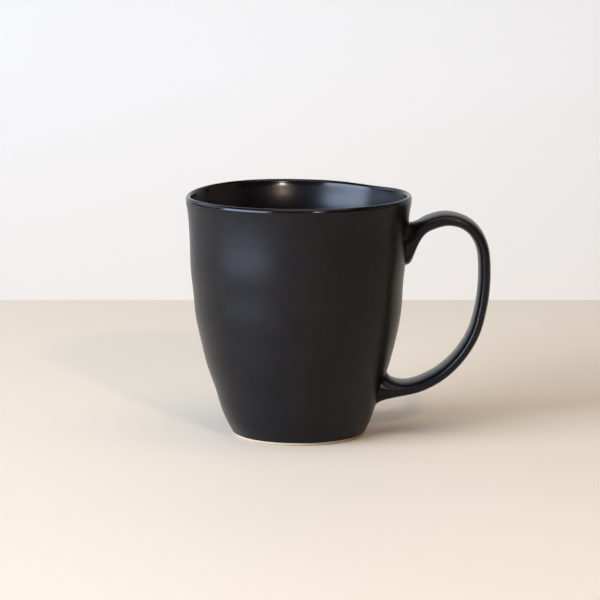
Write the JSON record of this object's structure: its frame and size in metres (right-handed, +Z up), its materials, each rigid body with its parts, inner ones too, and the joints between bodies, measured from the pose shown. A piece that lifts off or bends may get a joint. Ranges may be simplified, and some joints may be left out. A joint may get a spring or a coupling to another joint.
{
  "type": "ceramic mug",
  "caption": "Tall round stoneware mug with a flared lip, a tapered foot and a strap ear handle, coated in black matte glaze with a bare clay foot.",
  "frame": {"origin": "on the table, under the middle of the box round the mug and its handle", "axes": "+Z up through the cup, +X from the cup towards its handle, +Y away from someone who has the handle on their right"},
  "size_m": [0.1196, 0.0886, 0.095],
  "materials": {
    "bare_stoneware": "unglazed, fine sandy, matte",
    "fired_slip": "unglazed, smooth, matte",
    "black_matte_glaze": "soft satin matte black"
  },
  "bodies": {
    "root": {"clay_body": "bare_stoneware", "clay_handle": "bare_stoneware", "upper_luting_slip": "fired_slip", "lower_luting_slip": "fired_slip", "glaze_coat": "black_matte_glaze", "base_glaze": "black_matte_glaze"}
  },
  "joints": []
}
